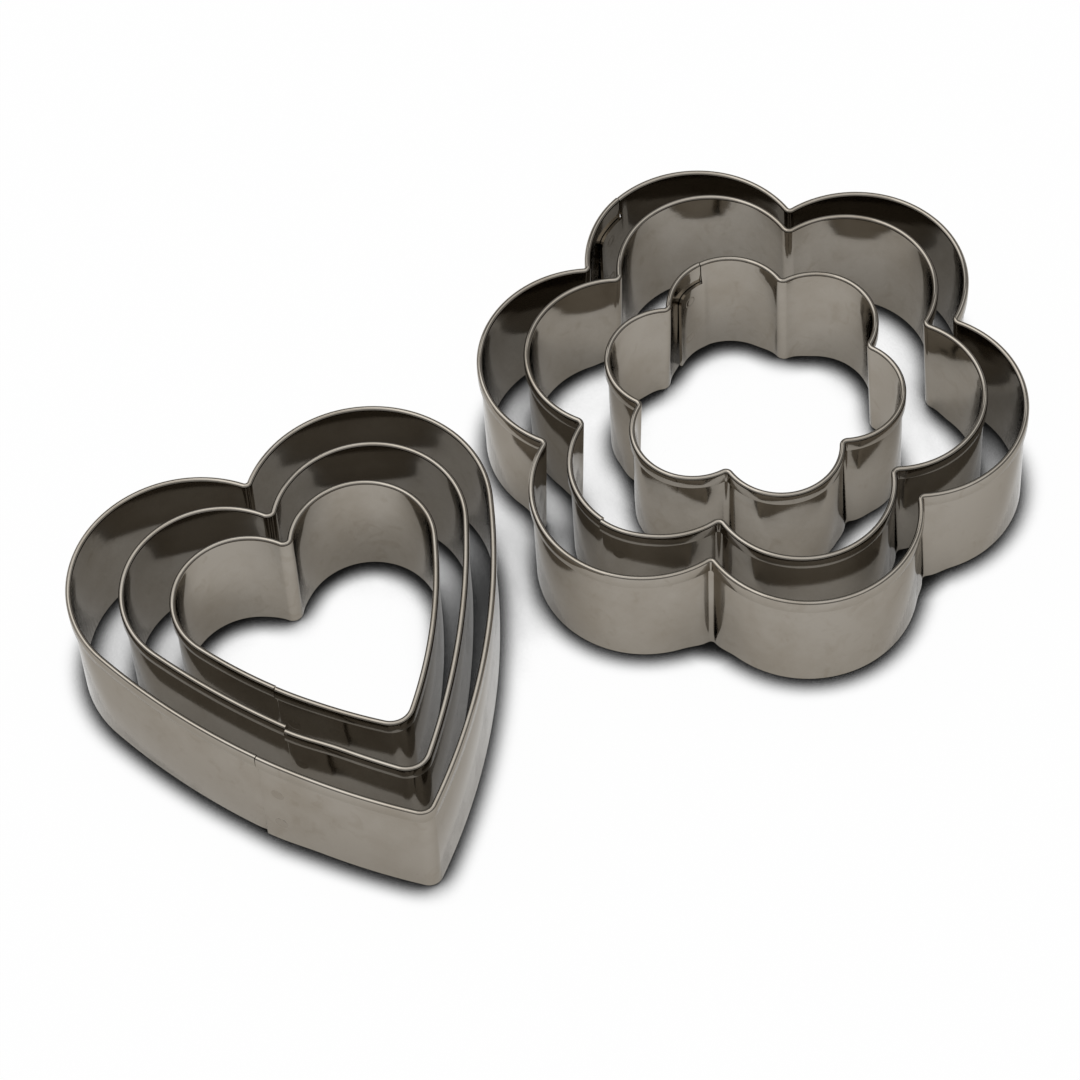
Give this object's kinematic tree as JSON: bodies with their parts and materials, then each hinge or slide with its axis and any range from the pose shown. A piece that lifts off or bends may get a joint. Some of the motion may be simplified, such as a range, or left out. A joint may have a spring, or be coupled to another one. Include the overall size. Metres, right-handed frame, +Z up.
{
  "type": "cookie cutter",
  "caption": "Nesting cookie cutters bent from strip steel to heart and flower outlines, each with a folded rim above, a plain cutting edge below and a spot-welded lap seam.",
  "frame": {"origin": "on the surface that the cutters stand on, under the middle of the whole set", "axes": "+Z up from the cutting edges to the rims; +X to the right, from the hearts to the flowers; +Y to the back, away from the camera"},
  "size_m": [0.1382, 0.1078, 0.02],
  "materials": {
    "strip_steel": "satin",
    "weld_steel": "dull"
  },
  "bodies": {
    "large_heart": {"large_heart_strip": "strip_steel", "large_heart_spot_welds": "weld_steel"},
    "medium_heart": {"medium_heart_strip": "strip_steel", "medium_heart_spot_welds": "weld_steel"},
    "small_heart": {"small_heart_strip": "strip_steel", "small_heart_spot_welds": "weld_steel"},
    "large_flower": {"large_flower_strip": "strip_steel", "large_flower_spot_welds": "weld_steel"},
    "medium_flower": {"medium_flower_strip": "strip_steel", "medium_flower_spot_welds": "weld_steel"},
    "small_flower": {"small_flower_strip": "strip_steel", "small_flower_spot_welds": "weld_steel"}
  },
  "joints": [
    {"name": "medium_heart_lift", "type": "slide", "parent": "large_heart", "child": "medium_heart", "axis": [0, 0, 1], "range_m": [0, 0.03]},
    {"name": "small_heart_lift", "type": "slide", "parent": "large_heart", "child": "small_heart", "axis": [0, 0, 1], "range_m": [0, 0.03]},
    {"name": "large_flower_lift", "type": "slide", "parent": "large_heart", "child": "large_flower", "axis": [0, 0, 1], "range_m": [0, 0.03]},
    {"name": "medium_flower_lift", "type": "slide", "parent": "large_heart", "child": "medium_flower", "axis": [0, 0, 1], "range_m": [0, 0.03]},
    {"name": "small_flower_lift", "type": "slide", "parent": "large_heart", "child": "small_flower", "axis": [0, 0, 1], "range_m": [0, 0.03]}
  ]
}
